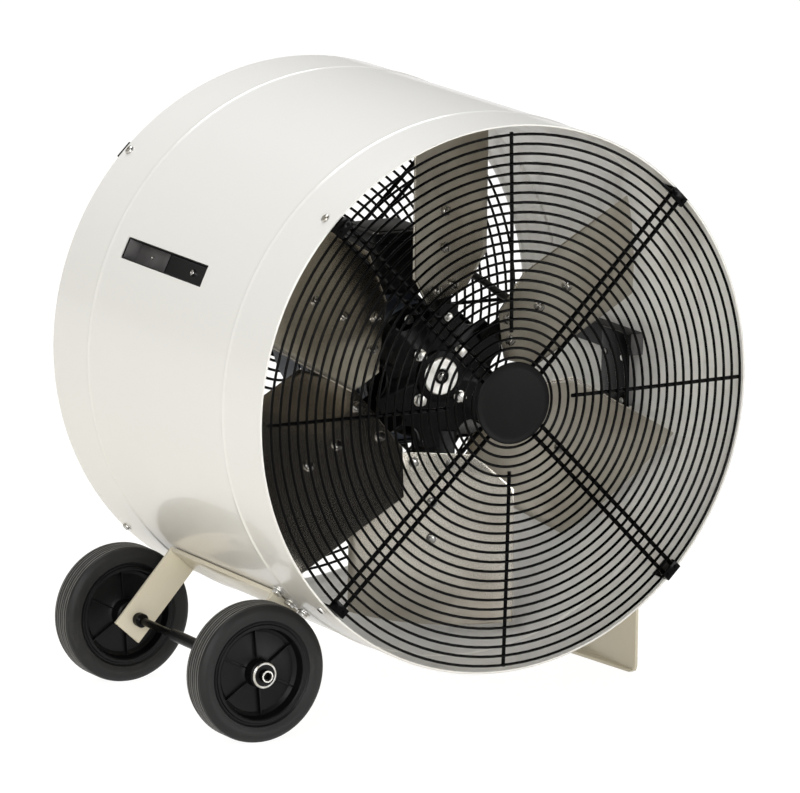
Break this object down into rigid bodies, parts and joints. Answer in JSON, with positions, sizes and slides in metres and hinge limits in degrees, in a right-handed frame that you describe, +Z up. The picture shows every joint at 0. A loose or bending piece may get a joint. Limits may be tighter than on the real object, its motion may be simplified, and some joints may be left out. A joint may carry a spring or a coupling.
{
  "type": "mobile drum fan",
  "caption": "Wheeled drum fan: steel drum with a domed wire guard at each end, strap-mounted motor, axial impeller, two side wheels on an axle and a plate foot.",
  "frame": {"origin": "on the floor, below the centre of the fan's bounding box", "axes": "+Z up, +Y along the drum's axis from the outlet guard to the inlet guard, so the air leaves towards -Y; +X from the wheels' side to the foot's side"},
  "size_m": [0.6796, 0.5346, 0.7002],
  "materials": {
    "white_paint": "gloss white paint",
    "cream_paint": "satin cream paint",
    "black_wire": "gloss black coated wire and sheet",
    "black_steel": "semi-gloss black paint",
    "motor_iron": "dark blue-grey painted casting",
    "motor_steel": "dark blue-grey painted sheet",
    "blade_metal": "bare sheet metal",
    "zinc": "zinc plated",
    "black_plastic": "black moulded plastic",
    "black_rubber": "matt black sheath",
    "tyre": "grooved solid rubber"
  },
  "bodies": {
    "frame": {"drum_shell": "white_paint", "handle_cup_left": "black_plastic", "handle_cup_right": "black_plastic", "front_guard": "black_wire", "front_guard_disc": "black_wire", "front_clip_1": "black_wire", "front_clip_2": "black_wire", "front_clip_3": "black_wire", "front_clip_4": "black_wire", "front_screw_1": "zinc", "front_screw_2": "zinc", "front_screw_3": "zinc", "front_screw_4": "zinc", "rear_guard": "black_wire", "rear_guard_disc": "black_wire", "rear_clip_1": "black_wire", "rear_clip_2": "black_wire", "rear_clip_3": "black_wire", "rear_clip_4": "black_wire", "rear_screw_1": "zinc", "rear_screw_2": "zinc", "rear_screw_3": "zinc", "rear_screw_4": "zinc", "motor_housing": "motor_iron", "motor_front_shield": "motor_iron", "motor_rear_shield": "motor_iron", "motor_cowl": "motor_steel", "terminal_box": "black_plastic", "terminal_box_lid": "black_plastic", "terminal_box_gland": "black_plastic", "supply_lead": "black_rubber", "supply_gland": "black_plastic", "motor_strap": "black_steel", "strap_end_left": "black_steel", "strap_end_right": "black_steel", "axle": "black_steel", "front_axle_washer": "zinc", "rear_axle_washer": "zinc", "bracket_rail": "cream_paint", "bracket_front_leg": "cream_paint", "bracket_rear_leg": "cream_paint", "bracket_bolt_1": "zinc", "bracket_bolt_2": "zinc", "bracket_bolt_3": "zinc", "foot": "cream_paint"},
    "impeller": {"impeller_spider": "black_steel", "impeller_boss": "zinc", "rotor_shaft": "zinc", "motor_cooling_fan": "black_plastic", "blade_1": "blade_metal", "blade_2": "blade_metal", "blade_3": "blade_metal", "blade_4": "blade_metal", "blade_5": "blade_metal", "blade_6": "blade_metal"},
    "front_wheel": {"front_tyre": "tyre", "front_wheel_hub": "black_plastic"},
    "rear_wheel": {"rear_tyre": "tyre", "rear_wheel_hub": "black_plastic"}
  },
  "joints": [
    {"name": "impeller_spin", "type": "hinge", "parent": "frame", "child": "impeller", "pos_m": [0.01018, 0, 0.383], "axis": [0, 1, 0], "continuous": true},
    {"name": "front_wheel_spin", "type": "hinge", "parent": "frame", "child": "front_wheel", "pos_m": [-0.25982, -0.161, 0.08], "axis": [0, 1, 0], "continuous": true},
    {"name": "rear_wheel_spin", "type": "hinge", "parent": "frame", "child": "rear_wheel", "pos_m": [-0.25982, 0.161, 0.08], "axis": [0, 1, 0], "continuous": true}
  ]
}
